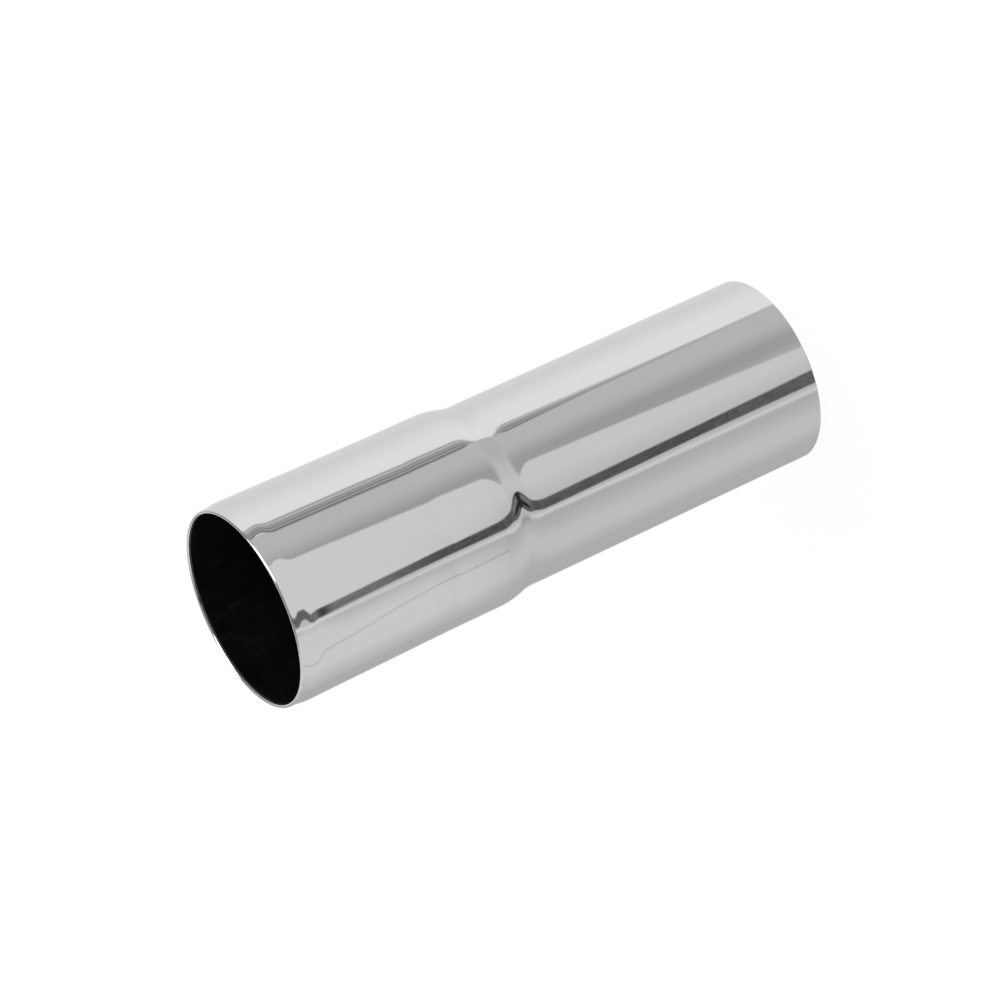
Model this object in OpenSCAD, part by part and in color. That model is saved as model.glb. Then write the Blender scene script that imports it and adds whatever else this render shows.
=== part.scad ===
// Sink drain extension tube: one drawn tube whose upper end is opened into a socket for the next tube.
// It stands on its plain end, with its axis on +Z and the socket's mouth at the top.

/* [Tube] */
// Outside diameter of the plain end
spigot_d = 32; // [28:0.5:42]
// Overall length
tube_length = 103; // [95:1:200]
// Wall thickness, the same all the way
wall = 0.6; // [0.5:0.1:0.8]
// Rounding of the two edges of the sawn plain end
end_round = 0.15; // [0.1:0.05:0.2]

/* [Socket] */
// Room at the radius between the socket's straight seat and the tube it takes
seat_gap = 0.4; // [0.2:0.05:0.5]
// Distance from the mouth to the corner of the shoulder
socket_depth = 42.5; // [38:0.5:60]
// Length of the straight seat at the bottom of the socket
seat_length = 12; // [8:0.5:15]
// How far the socket's wall spreads outwards between the seat and the lip, at the radius
mouth_spread = 0.38; // [0.2:0.02:0.5]
// Outside radius of the easy bend between the seat and the spread wall
spread_bend = 100; // [40:10:150]

/* [Shoulder] */
// Steepest slope of the shoulder, measured from the tube's axis
shoulder_slope = 15.5; // [10:0.5:25]
// Share of the shoulder that bulges outwards; the rest is hollow and runs into the plain end
shoulder_share = 0.54; // [0.4:0.02:0.6]

/* [Mouth] */
// Height of the lip that turns back in at the mouth
lip_height = 1.8; // [1.8:0.1:3]
// How far the lip turns inwards, at the radius
lip_turn = 0.23; // [0.16:0.01:0.26]
// Outside radius of the bend from the spread wall into the lip
lip_bend = 11; // [6:1:12]
// Height of the steeper edge above the lip, up to the rim
edge_height = 1; // [0.9:0.1:2]
// How far that edge still turns inwards, at the radius
edge_turn = 0.06; // [0.02:0.01:0.1]
// Outside radius of the hollow bend from the lip into the edge
edge_bend = 14; // [8:1:16]

/* [Hidden] */
$fn = 180;
// Largest angle between two points of an arc in the section
arc_step = 2;
rim_arc_step = 12;

spigot_r = spigot_d / 2;
step_out = seat_gap + wall;
seat_r = spigot_r + step_out;
crest_r = seat_r + mouth_spread;
lip_r = crest_r - lip_turn;
seat_z = tube_length - socket_depth;
foot_z = seat_z - step_out / tan(shoulder_slope);
edge_angle = atan2(edge_turn, edge_height);
rim_z = tube_length - wall / 2 * (1 - sin(edge_angle));
lip_z = rim_z - edge_height;
crest_z = lip_z - lip_height;

// The shoulder's two bends meet at its steepest place, all but a sliver that is left straight between them
shoulder_bends = 0.99 * step_out / (1 - cos(shoulder_slope));
bulge_bend = shoulder_share * shoulder_bends;
hollow_bend = (1 - shoulder_share) * shoulder_bends;

// Corners of the wall's outside, from the plain end up to the rim: [radius, height] and the bend there
corners = [
    [spigot_r, end_round],
    [spigot_r, foot_z],
    [seat_r, seat_z],
    [seat_r, seat_z + seat_length],
    [crest_r, crest_z],
    [lip_r, lip_z],
    [lip_r - edge_turn, rim_z]
];
bends = [0, hollow_bend, bulge_bend, spread_bend, lip_bend, edge_bend, 0];
last = len(corners) - 1;

// Direction of the straight run above a corner, as an angle from the radius; 90 is straight up
function heading(i) = let (run = corners[i + 1] - corners[i]) atan2(run[1], run[0]);
function direction(angle) = [cos(angle), sin(angle)];

// Points along an arc, from one angle to another
function arc(centre, radius, from, to, step) =
    let (pieces = max(1, ceil(abs(to - from) / step)))
    [for (k = [0 : pieces]) centre + radius * direction(from + (to - from) * k / pieces)];

// The bend at a corner, seen at a depth inside the wall. A bend that bulges outwards has its centre towards
// the axis and gets tighter with depth; a hollow one has its centre outside the tube and gets wider.
function bend(i, depth) =
    let (
        before = heading(i - 1),
        after = heading(i),
        radius = sign(after - before) * bends[i],
        setback = bends[i] * tan(abs(after - before) / 2),
        centre = corners[i] - setback * direction(before) - radius * direction(before - 90)
    )
    arc(centre, radius - depth, before - 90, after - 90, arc_step);

// One face of the wall between its two ends, from the bottom up
function face(depth) = [for (i = [1 : last - 1]) each bend(i, depth)];

function reversed(points) = [for (i = [len(points) - 1 : -1 : 0]) points[i]];

// The section of the wall: the sawn end, the outside, the polished rim and the inside
module wall_section() {
    facing_out = heading(last - 1) - 90;
    rim_centre = corners[last] - wall / 2 * direction(facing_out);
    outer_edge = [spigot_r - end_round, end_round];
    inner_edge = [spigot_r - wall + end_round, end_round];
    polygon(concat(
        arc(inner_edge, end_round, 180, 270, rim_arc_step),
        arc(outer_edge, end_round, 270, 360, rim_arc_step),
        face(0),
        arc(rim_centre, wall / 2, facing_out, facing_out + 180, rim_arc_step),
        reversed(face(wall))
    ));
}

module extension_tube() {
    color("silver") rotate_extrude() wall_section();
}

extension_tube();
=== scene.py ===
"""Sink drain extension tube: the looks of the chromed tube, and the studio that it stands in.

Lengths are metres. The tube stands on its plain end with its axis on +Z. A direction around it is given as
an azimuth in degrees: 0 faces the camera's side, -Y, and the angle grows towards -X.
"""
import math

import bpy
import numpy as np
from mathutils import Matrix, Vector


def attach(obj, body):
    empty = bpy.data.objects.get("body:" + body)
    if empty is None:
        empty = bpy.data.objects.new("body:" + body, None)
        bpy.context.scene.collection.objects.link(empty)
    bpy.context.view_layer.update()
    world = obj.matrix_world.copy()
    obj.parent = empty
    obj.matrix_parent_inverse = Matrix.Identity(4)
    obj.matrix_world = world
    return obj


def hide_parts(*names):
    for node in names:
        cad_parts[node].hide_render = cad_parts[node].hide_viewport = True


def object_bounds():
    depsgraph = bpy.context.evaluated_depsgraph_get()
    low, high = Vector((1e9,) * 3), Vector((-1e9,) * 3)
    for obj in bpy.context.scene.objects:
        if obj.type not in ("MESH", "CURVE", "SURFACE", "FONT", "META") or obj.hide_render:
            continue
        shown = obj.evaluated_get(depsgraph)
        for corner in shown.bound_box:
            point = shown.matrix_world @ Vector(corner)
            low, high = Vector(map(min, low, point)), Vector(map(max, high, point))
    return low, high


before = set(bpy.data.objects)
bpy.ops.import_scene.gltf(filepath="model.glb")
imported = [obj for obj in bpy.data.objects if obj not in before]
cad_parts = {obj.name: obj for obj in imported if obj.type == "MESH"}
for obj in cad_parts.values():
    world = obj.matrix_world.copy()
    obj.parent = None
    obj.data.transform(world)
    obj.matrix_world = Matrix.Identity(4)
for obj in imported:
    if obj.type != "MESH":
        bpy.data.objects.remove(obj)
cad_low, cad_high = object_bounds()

# The tube.
# One drawn metal tube with an even wall, chromed outside. One end is opened over a punch into a socket with
# a straight seat, a wall that spreads a little and a lip that is turned back in. The other end stays plain.
MM = 0.001
TUBE_LENGTH = cad_high[2] - cad_low[2]
WALL = 0.6 * MM
END_ROUND = 0.15 * MM
# Radii of the outside, each from the one below it: the room in the seat, and how far the wall spreads and
# then turns in at the lip and at the edge above it
SPIGOT_RADIUS = 16.0 * MM
SEAT_GAP = 0.4 * MM
MOUTH_SPREAD = 0.38 * MM
LIP_TURN = 0.23 * MM
EDGE_TURN = 0.06 * MM
SEAT_RADIUS = SPIGOT_RADIUS + SEAT_GAP + WALL
CREST_RADIUS = SEAT_RADIUS + MOUTH_SPREAD
LIP_RADIUS = CREST_RADIUS - LIP_TURN
EDGE_RADIUS = LIP_RADIUS - EDGE_TURN
# Heights and depths along the axis, and the bends between the straight runs of the outside
EDGE_HEIGHT = 1.0 * MM
LIP_HEIGHT = 1.8 * MM
SEAT_LENGTH = 12.0 * MM
SOCKET_DEPTH = 42.5 * MM
SHOULDER_SLOPE = math.radians(15.5)
BULGE_BEND = 14.7 * MM
HOLLOW_BEND = 12.5 * MM
SPREAD_BEND = 100.0 * MM
LIP_BEND = 11.0 * MM
EDGE_BEND = 14.0 * MM
# How far to each side of a joint the shading eases from the straight run into the bend: at both ends of the
# shoulder, and below the lip
SHOULDER_EASE = 1.4 * MM
LIP_EASE = 0.75 * MM
# How finely the surface is cut: steps along a straight run, points on a bend, on the rim, on an edge of the
# sawn end and on a straight run where the shading eases, and sides around
RUN_STEP = 2.0 * MM
BEND_POINTS = 17
RIM_POINTS = 13
END_POINTS = 5
EASE_POINTS = 4
SIDES = 320


def bent_line(corners, bends):
    """Straight runs through the corners with a tangent arc at each inner corner.
    An arc's centre lies square to the run at the tangent point, bend * tan(half the turn) before the
    corner, and its points are centre + bend * (sin, -cos) of evenly spaced headings.
    Returns the points and, for each, the heading of the line there."""
    runs = np.diff(corners, axis=0)
    headings = np.arctan2(runs[:, 1], runs[:, 0])
    points = [corners[0]]
    turns = [headings[0]]
    for corner, bend, before, after in zip(corners[1:-1], bends, headings[:-1], headings[1:]):
        reach = bend * math.tan(abs(after - before) / 2)
        side = math.copysign(1.0, after - before)
        start = corner - reach * np.array([math.cos(before), math.sin(before)])
        centre = start + side * bend * np.array([-math.sin(before), math.cos(before)])
        angles = np.linspace(before, after, BEND_POINTS)
        arc = centre + side * bend * np.stack([np.sin(angles), -np.cos(angles)], axis=1)
        steps = max(2, math.ceil(np.linalg.norm(arc[0] - points[-1]) / RUN_STEP))
        share = np.linspace(0.0, 1.0, steps, endpoint=False)[1:, None]
        points.extend(points[-1] + share * (arc[0] - points[-1]))
        turns.extend([before] * (steps - 1))
        points.extend(arc)
        turns.extend(angles)
    steps = max(2, math.ceil(np.linalg.norm(corners[-1] - points[-1]) / RUN_STEP))
    share = np.linspace(0.0, 1.0, steps + 1)[1:, None]
    points.extend(points[-1] + share * (corners[-1] - points[-1]))
    turns.extend([headings[-1]] * steps)
    return np.array(points), np.array(turns)


def round_edge(centre, radius, start, end, count):
    """Points centre + radius * (cos, sin) of evenly spaced angles, and these angles, which they face."""
    angles = np.linspace(start, end, count)
    return centre + radius * np.stack([np.cos(angles), np.sin(angles)], axis=1), angles


def eased(angles, heights, joint, bend, reach):
    """The angles around the joint of a straight run and a bend, as if averaged over a window that reaches as
    far up as down: they turn by another reach / (4 * bend) * overlap^2, where the overlap falls from 1 at
    the joint to 0 at the reach. The bend is given as negative where this leans the wall outwards."""
    overlap = np.clip(1.0 - np.abs(heights - joint) / reach, 0.0, None)
    return angles + reach / (4.0 * bend) * overlap ** 2


def outer_face():
    """The outside of the wall, from the sawn end up to the rim: its points as (radius, height), the angle
    that each faces, and that angle as the shading has it, eased at both ends of the shoulder and below the
    lip. The straight runs have a few more points there. A joint of a run and a bend is
    bend * tan(half the turn) from its corner."""
    edge_lean = math.atan2(EDGE_TURN, EDGE_HEIGHT)
    rim_height = TUBE_LENGTH - WALL / 2 * (1.0 - math.sin(edge_lean))
    seat_height = TUBE_LENGTH - SOCKET_DEPTH
    crest_height = rim_height - EDGE_HEIGHT - LIP_HEIGHT
    foot_height = seat_height - (SEAT_RADIUS - SPIGOT_RADIUS) / math.tan(SHOULDER_SLOPE)
    corners = np.array([
        [SPIGOT_RADIUS, END_ROUND],
        [SPIGOT_RADIUS, foot_height],
        [SEAT_RADIUS, seat_height],
        [SEAT_RADIUS, seat_height + SEAT_LENGTH],
        [CREST_RADIUS, crest_height],
        [LIP_RADIUS, rim_height - EDGE_HEIGHT],
        [EDGE_RADIUS, rim_height],
    ])
    outside, headings = bent_line(corners, [HOLLOW_BEND, BULGE_BEND, SPREAD_BEND, LIP_BEND, EDGE_BEND])
    lower_joint = foot_height - HOLLOW_BEND * math.tan(SHOULDER_SLOPE / 2)
    upper_joint = seat_height + BULGE_BEND * math.tan(SHOULDER_SLOPE / 2)
    spread_lean = math.atan2(MOUTH_SPREAD, crest_height - seat_height - SEAT_LENGTH)
    lip_lean = math.atan2(LIP_TURN, LIP_HEIGHT)
    lip_joint = crest_height - LIP_BEND * math.tan((spread_lean + lip_lean) / 2)
    steps = np.arange(1, EASE_POINTS + 1) / EASE_POINTS
    heights = np.sort(np.concatenate([
        outside[:, 1],
        lower_joint - SHOULDER_EASE * steps,
        upper_joint + SHOULDER_EASE * steps,
        lip_joint - LIP_EASE * steps,
    ]))
    headings = np.interp(heights, outside[:, 1], headings)
    outside = np.stack([np.interp(heights, outside[:, 1], outside[:, 0]), heights], axis=1)
    facing_out = headings - math.pi / 2
    shaded_out = eased(facing_out, heights, lower_joint, -HOLLOW_BEND, SHOULDER_EASE)
    shaded_out = eased(shaded_out, heights, upper_joint, -BULGE_BEND, SHOULDER_EASE)
    shaded_out = eased(shaded_out, heights, lip_joint, LIP_BEND, LIP_EASE)
    return outside, facing_out, shaded_out


def wall_section():
    """The closed outline of the wall as (radius, height), the angle that each point faces in the shading and
    a share that is 1 where it is plated. It runs up the outside, over the rim's half round and down the
    inside, which is the outside moved in by the wall along its normal, and closes over the sawn end's two
    eased edges."""
    outside, facing_out, shaded_out = outer_face()
    normals = np.stack([np.cos(facing_out), np.sin(facing_out)], axis=1)
    inside = (outside - WALL * normals)[::-1]
    top = facing_out[-1]
    rim_centre = outside[-1] - WALL / 2 * normals[-1]
    rim, rim_facing = round_edge(rim_centre, WALL / 2, top, top + math.pi, RIM_POINTS)
    inner_edge = [SPIGOT_RADIUS - WALL + END_ROUND, END_ROUND]
    outer_edge = [SPIGOT_RADIUS - END_ROUND, END_ROUND]
    inner, inner_facing = round_edge(inner_edge, END_ROUND, math.pi, 1.5 * math.pi, END_POINTS)
    outer, outer_facing = round_edge(outer_edge, END_ROUND, 1.5 * math.pi, 2.0 * math.pi, END_POINTS)
    section = np.concatenate([outside, rim[1:-1], inside, inner[1:], outer[:-1]])
    facing = [shaded_out, rim_facing[1:-1], shaded_out[::-1] + math.pi, inner_facing[1:], outer_facing[:-1]]
    # The first point of the inside ends the rim's half round, so it is still plated
    plated = np.ones(len(section))
    first_inside = len(outside) + RIM_POINTS - 2
    plated[first_inside + 1:first_inside + len(inside)] = 0.0
    return section, np.concatenate(facing), plated


def closed_faces(sides, count):
    """Quads of a grid that closes both ways: rows around the axis, columns along the outline.
    A face joins (row, column) to (next row, column), (next row, next column) and (row, next column)."""
    rows, columns = np.meshgrid(np.arange(sides), np.arange(count), indexing="ij")
    next_rows, next_columns = (rows + 1) % sides, (columns + 1) % count
    corners = [(rows, columns), (next_rows, columns), (next_rows, next_columns), (rows, next_columns)]
    return np.stack([row * count + column for row, column in corners], axis=-1).reshape(-1, 4)


def new_mesh(name, points, faces, smooth=True):
    """A mesh object at the origin made from arrays of points and quads."""
    mesh = bpy.data.meshes.new(name)
    mesh.vertices.add(len(points))
    mesh.vertices.foreach_set("co", points.astype(np.float32).ravel())
    mesh.loops.add(faces.size)
    mesh.loops.foreach_set("vertex_index", faces.astype(np.int32).ravel())
    mesh.polygons.add(len(faces))
    mesh.polygons.foreach_set("loop_start", np.arange(0, faces.size, 4, dtype=np.int32))
    mesh.polygons.foreach_set("use_smooth", np.full(len(faces), smooth))
    mesh.update(calc_edges=True)
    mesh.validate()
    made = bpy.data.objects.new(name, mesh)
    bpy.context.scene.collection.objects.link(made)
    return made


def point_values(piece, name, values):
    """Stores one number for each point of a piece, under a name that its material reads."""
    attribute = piece.data.attributes.new(name, "FLOAT", "POINT")
    attribute.data.foreach_set("value", values.astype(np.float32).ravel())


def turned(outline, around):
    """The outline carried once around the axis: (radius cos a, radius sin a, height) for each angle a."""
    ring = np.stack([np.cos(around), np.sin(around)], axis=1)
    flat = ring[:, None, :] * outline[None, :, :1]
    heights = np.broadcast_to(outline[None, :, 1:], (len(around), len(outline), 1))
    return np.concatenate([flat, heights], axis=2).reshape(-1, 3)


section, facing, plated = wall_section()
around = np.linspace(0.0, 2.0 * math.pi, SIDES, endpoint=False)
tube = new_mesh("chromed_tube", turned(section, around), closed_faces(SIDES, len(section)))
facing_ways = np.stack([np.cos(facing), np.sin(facing)], axis=1)
tube.data.normals_split_custom_set_from_vertices(turned(facing_ways, around))
point_values(tube, "plated", np.tile(plated, SIDES))


def placed(tree, kind, **settings):
    """A shader node with its plain settings."""
    made = tree.nodes.new(kind)
    for name, value in settings.items():
        setattr(made, name, value)
    return made


def blank_material(name):
    """A material with an empty node tree and its output."""
    material = bpy.data.materials.new(name)
    material.use_nodes = True
    material.node_tree.nodes.clear()
    return material, material.node_tree, placed(material.node_tree, "ShaderNodeOutputMaterial")


def noise(tree, place, per_metre, detail):
    """The cloudy values of a noise texture, about 0.5 on average, that are read at a place."""
    made = placed(tree, "ShaderNodeTexNoise")
    made.inputs["Scale"].default_value = per_metre
    made.inputs["Detail"].default_value = detail
    tree.links.new(place, made.inputs["Vector"])
    return made.outputs["Fac"]


def scaled_along(tree, place, share):
    """A place with its height multiplied by a share: below 1 it draws a pattern out along the axis, above 1
    it flattens it."""
    made = placed(tree, "ShaderNodeMapping")
    made.inputs["Scale"].default_value = (1.0, 1.0, share)
    tree.links.new(place, made.inputs["Vector"])
    return made.outputs["Vector"]


def spread_over(tree, value, limits, ends):
    """The straight line that goes from the first end to the second while the value crosses its limits."""
    made = placed(tree, "ShaderNodeMapRange")
    for name, number in zip(("From Min", "From Max", "To Min", "To Max"), limits + ends):
        made.inputs[name].default_value = number
    tree.links.new(value, made.inputs["Value"])
    return made.outputs["Result"]


# Bright chrome over polished metal outside and over the rim, with a faint haze and the slight waves that
# drawing and polishing leave along the tube, and dark unplated metal inside, with paler drawn lines, whose
# grey is taken down to near black as painted shade for the dim inside of the tube
CHROME_GREY = 0.80
CHROME_ROUGHNESS = (0.025, 0.045)
# The inside's greys, near black: dark unplated metal with painted shade for the dim inside of the tube
BARE_AND_PAINTED_SHADE_GREYS = (0.003, 0.016)
BARE_ROUGHNESS = (0.45, 0.62)
BARE_SHINE = 0.2
HAZE_PER_METRE = 140.0
HAZE_DETAIL = 3.0
HAZE_LIMITS = (0.3, 0.7)
LINES_PER_METRE = 700.0
LINE_LIMITS = (0.55, 0.8)
WAVES_PER_METRE = 90.0
WAVE_HEIGHT = 0.03 * MM
DRAWN_DETAIL = 2.0
DRAWN_SHARE = 0.3

chrome, tree, output = blank_material("chrome_and_bare_inside_with_painted_shade")
shader = placed(tree, "ShaderNodeBsdfPrincipled")
tree.links.new(shader.outputs["BSDF"], output.inputs["Surface"])
mask = placed(tree, "ShaderNodeAttribute", attribute_name="plated")
place = placed(tree, "ShaderNodeTexCoord")
haze = noise(tree, place.outputs["Object"], HAZE_PER_METRE, HAZE_DETAIL)
roughness = placed(tree, "ShaderNodeMix", data_type="FLOAT")
tree.links.new(spread_over(tree, haze, HAZE_LIMITS, BARE_ROUGHNESS), roughness.inputs["A"])
tree.links.new(spread_over(tree, haze, HAZE_LIMITS, CHROME_ROUGHNESS), roughness.inputs["B"])
tree.links.new(mask.outputs["Fac"], roughness.inputs["Factor"])
tree.links.new(roughness.outputs["Result"], shader.inputs["Roughness"])
drawn_place = scaled_along(tree, place.outputs["Object"], DRAWN_SHARE)
lines = noise(tree, drawn_place, LINES_PER_METRE, DRAWN_DETAIL)
# Chrome grey where plated, and inside the near-black painted shade over the paler drawn lines
tint = placed(tree, "ShaderNodeMix", data_type="RGBA")
tint.inputs["B"].default_value = (CHROME_GREY, CHROME_GREY, CHROME_GREY, 1.0)
tree.links.new(spread_over(tree, lines, LINE_LIMITS, BARE_AND_PAINTED_SHADE_GREYS), tint.inputs["A"])
tree.links.new(mask.outputs["Fac"], tint.inputs["Factor"])
tree.links.new(tint.outputs["Result"], shader.inputs["Base Color"])
bump = placed(tree, "ShaderNodeBump")
bump.inputs["Distance"].default_value = WAVE_HEIGHT
tree.links.new(noise(tree, drawn_place, WAVES_PER_METRE, DRAWN_DETAIL), bump.inputs["Height"])
tree.links.new(bump.outputs["Normal"], shader.inputs["Normal"])
tree.links.new(mask.outputs["Fac"], shader.inputs["Metallic"])
shader.inputs["Specular IOR Level"].default_value = BARE_SHINE
tube.data.materials.append(chrome)

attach(tube, "root")
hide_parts("extension_tube")


# The floor.
# A pale board that the tube stands on. It gives off most of its own white, so that it runs into the white
# around it, and the rest is daylight, in which the tube leaves a faint shadow.
FLOOR_HALF = 3.0
FLOOR_SHADE = 0.25
FLOOR_GLOW = 0.865

floor_corners = FLOOR_HALF * np.array([[-1, -1, 0], [1, -1, 0], [1, 1, 0], [-1, 1, 0]])
floor = new_mesh("floor", floor_corners, np.array([[0, 1, 2, 3]]), smooth=False)
pale, tree, output = blank_material("pale_board")
board = placed(tree, "ShaderNodeBsdfDiffuse")
board.inputs["Color"].default_value = (FLOOR_SHADE, FLOOR_SHADE, FLOOR_SHADE, 1.0)
glow = placed(tree, "ShaderNodeEmission")
path = placed(tree, "ShaderNodeLightPath")
glow_level = placed(tree, "ShaderNodeMath", operation="MULTIPLY")
glow_level.inputs[1].default_value = FLOOR_GLOW
tree.links.new(path.outputs["Is Camera Ray"], glow_level.inputs[0])
tree.links.new(glow_level.outputs["Value"], glow.inputs["Strength"])
both = placed(tree, "ShaderNodeAddShader")
tree.links.new(board.outputs["BSDF"], both.inputs[0])
tree.links.new(glow.outputs["Emission"], both.inputs[1])
tree.links.new(both.outputs["Shader"], output.inputs["Surface"])
floor.data.materials.append(pale)
floor.visible_glossy = False


# The cards around the tube.
# Chrome shows only what stands around it: paper cards, a dark strip and four rods, set up in a ring 0.25 m
# off that narrows at its foot. It is one surface that only reflections see, and each of its points holds the
# light that it gives off.
CARD_DISTANCE = 0.25
FOOT_DISTANCE = 0.02
NARROWS_BELOW = -0.5
# Where the ring has its points: stretches of azimuth in degrees and of height, each with its start, end and
# step, with the finest steps where the cards have fine detail
CARD_AZIMUTHS = ((-180.0, -95.0, 2.5), (-95.0, 105.0, 0.4), (105.0, 180.0, 2.5))
CARD_HEIGHTS = (
    (-0.9, -0.27, 0.04),
    (-0.26, -0.013, 0.004),
    (-0.012, -0.0025, 0.001),
    (-0.002, 0.119, 0.004),
    (0.12, 0.5, 0.02),
)
# How wide the soft border of a card's edge is, in degrees, and the grey of the softbox, which is past white
EDGE_BORDER = 2.6
SOFTBOX_GREY = 1.4
# Clouds in the papers: how much a dark and a paler paper, each by its grey, lighten and darken with them
DARK_MOTTLE = (0.3, 2.5)
PALE_MOTTLE = (0.55, 0.10)
CLOUDS_PER_METRE = 90.0
CLOUD_DETAIL = 3.0
CLOUD_MIDDLE = 0.5
CLOUD_FLATNESS = 12.0


def through(value, *places):
    """Straight lines through a few places, each a value and what it gives, in rising order."""
    return np.interp(value, [place[0] for place in places], [place[1] for place in places])


def rising(value, edge, border=EDGE_BORDER):
    """0 below the edge, 1 above it and a smooth step 3t^2 - 2t^3 over the border between."""
    share = np.clip((value - edge) / border + 0.5, 0.0, 1.0)
    return share * share * (3.0 - 2.0 * share)


def near(value, middle, half_width):
    """The bell exp(-t^2), where t is the distance from the middle in half widths."""
    return np.exp(-((value - middle) / half_width) ** 2)


def blended(first, second, share):
    """The first brightness where the share is 0, the second where it is 1."""
    return first + (second - first) * share


# From here on an azimuth is in degrees, a height is in millimetres from the floor, and a brightness is the
# grey, from 0 to 1, that shows in the chrome. Reflections don't see the floor: below 0 they show the table.
def rods(grey, azimuth, height):
    """Four thin dark rods side by side, the last the darkest, that fade out low down. A place across them is
    0 at the left of the first and 1 at the right of the last."""
    first = through(height, (-128, -68.0), (-62, -73.0), (-25, -76.6), (40, -78.4))
    last = through(height, (-128, -65.0), (-80, -64.5), (-55, -60.5), (-40, -59.5), (-12, -61), (50, -65))
    place = (azimuth - first) / (last - first)
    shade = through(place, (0.0, 0.66), (0.25, 0.70), (0.45, 0.60), (1.0, 0.58))
    shade = shade - 0.10 * near(place, 0.11, 0.045) - 0.09 * near(place, 0.40, 0.04)
    shade = shade - 0.13 * near(place, 0.62, 0.05) - 0.20 * near(place, 0.88, 0.05)
    shown = through(height, (-130, 0.0), (-100, 0.35), (-80, 0.65), (-60, 1.0))
    inside = rising(azimuth, first + 0.5) * (1.0 - rising(azimuth, last, 2.5))
    return blended(grey, shade, shown * inside)


def middle_card(azimuth, height):
    """A grey card that darkens towards its right edge, and the paler table below it."""
    card = through(azimuth, (-60, 0.70), (-45, 0.70), (-36, 0.665), (-26, 0.60), (-16, 0.60), (-8, 0.65))
    table = through(azimuth, (-70, 0.685), (-50, 0.68), (-28, 0.718), (-14, 0.732), (0, 0.748))
    return blended(card, table, rising(-height, 148.0, 70.0))


def strip(azimuth, height, start, end):
    """The dark strip, grey above and darker below. Its foot has pale and dark stripes along it, round a
    black core, and turns black at the very end. A place across it is 0 at its start and 1 at its end."""
    place = (azimuth - start) / (end - start)
    lower = through(height, (-132, 0.38), (-118, 0.34), (-108, 0.34), (-95, 0.30), (-85, 0.31), (-62, 0.34))
    upper = through(height, (-52, 0.285), (-42, 0.30), (-35, 0.30), (-26, 0.405), (-15, 0.435), (60, 0.37))
    grey = blended(lower, upper, rising(height, -57.0, 10.0)) - 0.27 * near(height, -7.0, 1.2)
    stripes = through(place, (0.05, 0.31), (0.12, 0.36), (0.25, 0.46), (0.4, 0.42), (0.8, 0.42), (1, 0.31))
    core = through(height, (-190, 0.09), (-160, 0.20), (-140, 0.26))
    stripes = blended(stripes, core, near(place, through(height, (-200, 0.63), (-140, 0.68)), 0.13))
    stripes = blended(stripes, 0.17, rising(-height, 245.0, 30.0))
    return blended(grey, stripes, rising(-height, 142.0, 20.0))


def right_wall(azimuth, height):
    """A pale wall with a lighter line beside the strip and one thin dark cord that hangs across it."""
    upper = through(azimuth, (41, 0.71), (46, 0.69), (56, 0.755), (66, 0.785), (98, 0.78), (120, 0.71))
    lower = through(azimuth, (42, 0.70), (49, 0.66), (60, 0.69), (76, 0.735), (92, 0.74), (120, 0.67))
    wall = blended(lower, upper, rising(height, -42.0, 24.0))
    wall = wall + 0.05 * near(azimuth, 50.0, 8.0) * rising(height, -8.0, 10.0)
    behind = through(azimuth, (120, 0.68), (158, 0.635), (173, 0.9))
    wall = blended(wall, behind, rising(azimuth, 125.0, 10.0))
    wall = wall - 0.08 * near(azimuth, 50.0, 4.0) * rising(-height, 190.0, 50.0)
    line = through(height, (-150, 45.5), (-110, 46.3), (-80, 45.5), (-60, 44.3), (10, 43.5))
    strength = through(height, (-200, 0.0), (-140, 0.10), (-80, 0.11), (-50, 0.09))
    wall = wall + strength * near(azimuth, line, through(height, (-90, 3.0), (-40, 1.8)))
    cord = through(height, (-48, 64.0), (-34, 65.7), (-25, 68.5), (-12, 76.0), (13, 86.0), (60, 88.0))
    return wall - 0.09 * rising(height, -50.0, 8.0) * near(azimuth, cord, 1.1)


def above_cards(grey, azimuth, height):
    """The room over the cards' top edge, which only the polished rim sees: a dim side, a pale one and the
    lower end of the softbox."""
    room = through(azimuth, (-150, 0.62), (-110, 0.42), (48, 0.36), (72, 0.75), (140, 0.85), (175, 0.55))
    softbox = rising(azimuth, -60.0, 6.0) * (1.0 - rising(azimuth, -13.5, 6.0))
    grey = blended(grey, room, rising(height, 185.0, 20.0))
    return blended(grey, SOFTBOX_GREY, softbox * rising(height, 195.0, 20.0))


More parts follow.
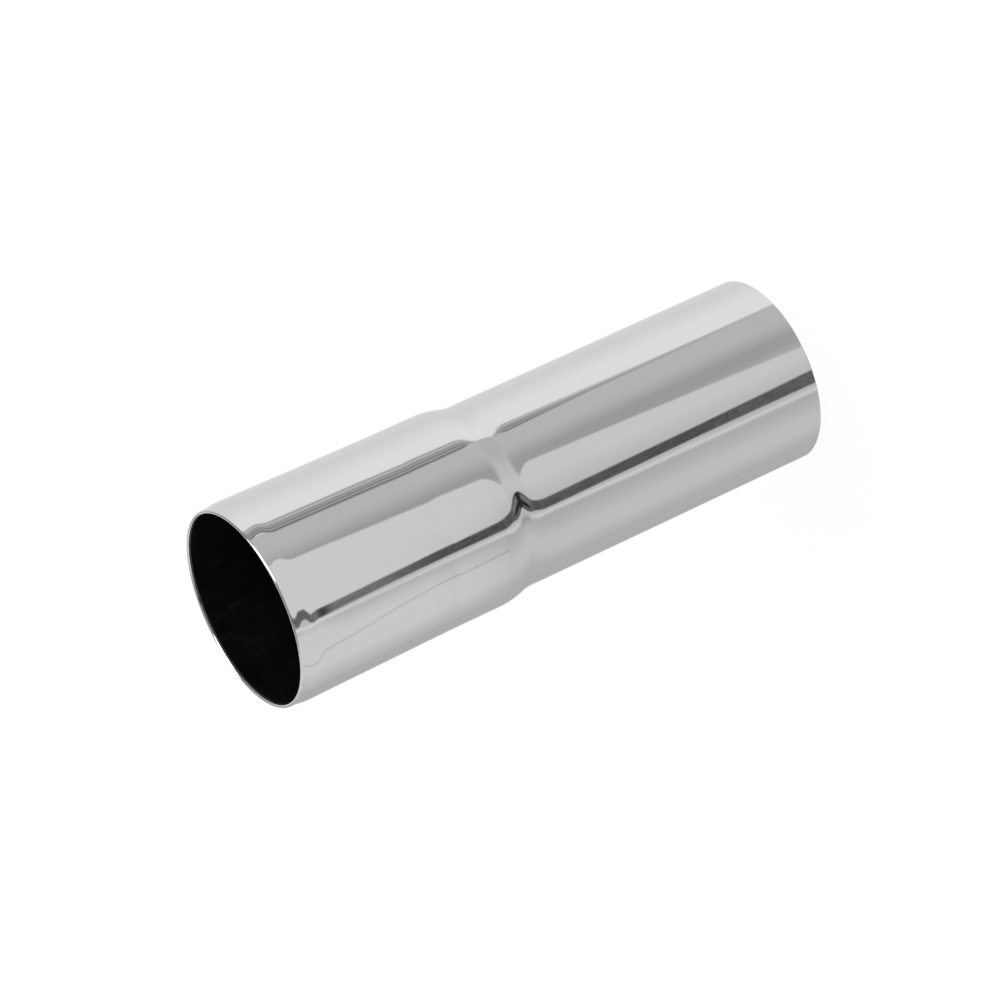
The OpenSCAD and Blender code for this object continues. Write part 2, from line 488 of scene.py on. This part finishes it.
def card_grey(azimuth, height):
    """How bright each point of the ring looks in the chrome.
    From left to right, as seen from the tube, each card covers the one before it from its own edge on. An
    edge leans and bends, so it is given by its azimuth at a few heights."""
    grey = through(azimuth, (-180, 0.93), (-170, 0.88), (-160, 0.80), (-125, 0.80), (-92, 0.86))
    edge = through(height, (-240, -80.5), (-210, -77.5), (-160, -71.5), (-132, -69), (-80, -68), (-30, -64))
    grey = blended(grey, middle_card(azimuth, height), rising(azimuth, edge))
    grey = rods(grey, azimuth, height)
    light = through(height, (-150, 0.748), (-120, 0.77), (-50, 0.77), (-35, 0.785))
    light = light - through(azimuth, (4, 0.0), (24, 0.05)) * rising(-height, 40.0, 40.0)
    low_edge = through(height, (-150, -11), (-140, -7.4), (-134, -6), (-128, -6), (-118, -7.5), (-80, -14.2))
    high_edge = through(height, (-80, -14.2), (-45, -20.2), (-12, -25.5), (60, -31.3))
    edge = np.where(height < -80.0, low_edge, high_edge)
    grey = blended(grey, light, rising(azimuth, edge, through(height, (-155, 16.0), (-132, 2.4))))
    low_start = through(height, (-240, 10.6), (-190, 14.5), (-132, 23), (-118, 24.6), (-95, 26.3), (-60, 28))
    high_start = through(height, (-60, 28), (-12, 31.3), (20, 33.2), (60, 24.3))
    start = np.where(height < -60.0, low_start, high_start)
    low_end = through(height, (-270, 33), (-200, 38), (-150, 39.3), (-100, 38), (-85, 38.5), (-62, 39.5))
    high_end = through(height, (-62, 39.5), (-25, 39), (10, 42), (40, 40), (52, 37), (65, 34.5))
    end = np.where(height < -62.0, low_end, high_end)
    grey = blended(grey, strip(azimuth, height, start, end), rising(azimuth, start, 3.0))
    grey = blended(grey, right_wall(azimuth, height), rising(azimuth, end))
    return above_cards(grey, azimuth, height)


def given_off(grey):
    """The light that shows in the chrome as a grey: the display's curve undone, which is
    ((grey + 0.055) / 1.055)^2.4, over the share of it that the chrome sends back."""
    return ((grey + 0.055) / 1.055) ** 2.4 / CHROME_GREY


card_azimuths = np.concatenate([np.arange(*stretch) for stretch in CARD_AZIMUTHS])
card_heights = np.concatenate([np.arange(*stretch) for stretch in CARD_HEIGHTS])
azimuths, heights = np.meshgrid(card_azimuths, card_heights, indexing="ij")
distances = through(heights, (CARD_HEIGHTS[0][0], FOOT_DISTANCE), (NARROWS_BELOW, CARD_DISTANCE))
card_points = np.stack([
    -distances * np.sin(np.radians(azimuths)),
    -distances * np.cos(np.radians(azimuths)),
    heights,
], axis=-1).reshape(-1, 3)
# The ring closes around the tube, but its top isn't joined to its foot
ring_faces = closed_faces(len(card_azimuths), len(card_heights)).reshape(len(card_azimuths), -1, 4)[:, :-1]
cards = new_mesh("card_ring", card_points, ring_faces.reshape(-1, 4))
greys = card_grey(azimuths, heights / MM)
point_values(cards, "light", given_off(greys))
point_values(cards, "mottle", through(greys, DARK_MOTTLE, PALE_MOTTLE))


def seen_in_chrome_only(thing):
    """Hides a card from the camera and from every ray but a reflection."""
    thing.visible_camera = False
    thing.visible_diffuse = False
    thing.visible_transmission = False
    thing.visible_volume_scatter = False
    thing.visible_shadow = False


paper, tree, output = blank_material("lit_paper")
paper.cycles.emission_sampling = "NONE"
level = placed(tree, "ShaderNodeAttribute", attribute_name="light")
amount = placed(tree, "ShaderNodeAttribute", attribute_name="mottle")
place = placed(tree, "ShaderNodeTexCoord")
clouds_place = scaled_along(tree, place.outputs["Object"], CLOUD_FLATNESS)
clouds = noise(tree, clouds_place, CLOUDS_PER_METRE, CLOUD_DETAIL)
off_middle = placed(tree, "ShaderNodeMath", operation="SUBTRACT")
off_middle.inputs[1].default_value = CLOUD_MIDDLE
tree.links.new(clouds, off_middle.inputs[0])
mottle = placed(tree, "ShaderNodeMath", operation="MULTIPLY_ADD")
mottle.inputs[2].default_value = 1.0
tree.links.new(off_middle.outputs["Value"], mottle.inputs[0])
tree.links.new(amount.outputs["Fac"], mottle.inputs[1])
mottled = placed(tree, "ShaderNodeMath", operation="MULTIPLY")
tree.links.new(level.outputs["Fac"], mottled.inputs[0])
tree.links.new(mottle.outputs["Value"], mottled.inputs[1])
lit = placed(tree, "ShaderNodeEmission")
tree.links.new(mottled.outputs["Value"], lit.inputs["Strength"])
tree.links.new(lit.outputs["Emission"], output.inputs["Surface"])
cards.data.materials.append(paper)
seen_in_chrome_only(cards)


# The softbox.
# A long bright panel hangs over the tube, a little to its right as the camera stands, and lights the
# polished rim. Like the cards it is there for the chrome alone.
SOFTBOX_HEIGHT = 0.75
SOFTBOX_X = (0.115, 0.5)
SOFTBOX_Y = (-1.2, 1.2)

softbox_points = np.array([
    [SOFTBOX_X[0], SOFTBOX_Y[0], SOFTBOX_HEIGHT],
    [SOFTBOX_X[0], SOFTBOX_Y[1], SOFTBOX_HEIGHT],
    [SOFTBOX_X[1], SOFTBOX_Y[1], SOFTBOX_HEIGHT],
    [SOFTBOX_X[1], SOFTBOX_Y[0], SOFTBOX_HEIGHT],
])
softbox = new_mesh("softbox", softbox_points, np.array([[0, 1, 2, 3]]), smooth=False)
point_values(softbox, "light", np.full(4, given_off(SOFTBOX_GREY)))
point_values(softbox, "mottle", np.zeros(4))
softbox.data.materials.append(paper)
seen_in_chrome_only(softbox)


# The room.
# White where the camera looks past the floor, a plain grey ceiling in reflections, and an even pale light
# on everything else.
ROOM_LIGHT = 0.56
CEILING_GREY = 0.60

world = bpy.data.worlds.new("room")
bpy.context.scene.world = world
world.use_nodes = True
tree = world.node_tree
tree.nodes.clear()
output = placed(tree, "ShaderNodeOutputWorld")
path = placed(tree, "ShaderNodeLightPath")
background = placed(tree, "ShaderNodeBackground")
background.inputs["Color"].default_value = (1.0, 1.0, 1.0, 1.0)
for_reflections = placed(tree, "ShaderNodeMix", data_type="FLOAT")
for_reflections.inputs["A"].default_value = ROOM_LIGHT
for_reflections.inputs["B"].default_value = given_off(CEILING_GREY)
for_camera = placed(tree, "ShaderNodeMix", data_type="FLOAT")
for_camera.inputs["B"].default_value = 1.0
tree.links.new(path.outputs["Is Glossy Ray"], for_reflections.inputs["Factor"])
tree.links.new(for_reflections.outputs["Result"], for_camera.inputs["A"])
tree.links.new(path.outputs["Is Camera Ray"], for_camera.inputs["Factor"])
tree.links.new(for_camera.outputs["Result"], background.inputs["Strength"])
tree.links.new(background.outputs["Background"], output.inputs["Surface"])


# The camera.
# A long lens that looks down along +Y at the standing tube, turned about its line of sight so that the
# mouth comes to the lower left.
CAMERA_PLACE = (-0.00126, -0.75294, 0.40470)
CAMERA_PITCH = 24.97
CAMERA_ROLL = -114.8
# Focal length and width of the sensor, in millimetres
CAMERA_LENS = 183.7
SENSOR_WIDTH = 36.0

lens = bpy.data.cameras.new("camera")
lens.sensor_width = SENSOR_WIDTH
lens.lens = CAMERA_LENS
camera = bpy.data.objects.new("camera", lens)
bpy.context.scene.collection.objects.link(camera)
camera.matrix_world = (
    Matrix.Translation(CAMERA_PLACE)
    @ Matrix.Rotation(math.radians(90.0 - CAMERA_PITCH), 4, "X")
    @ Matrix.Rotation(math.radians(CAMERA_ROLL), 4, "Z")
)
bpy.context.scene.camera = camera
bpy.context.scene.view_settings.view_transform = "Standard"
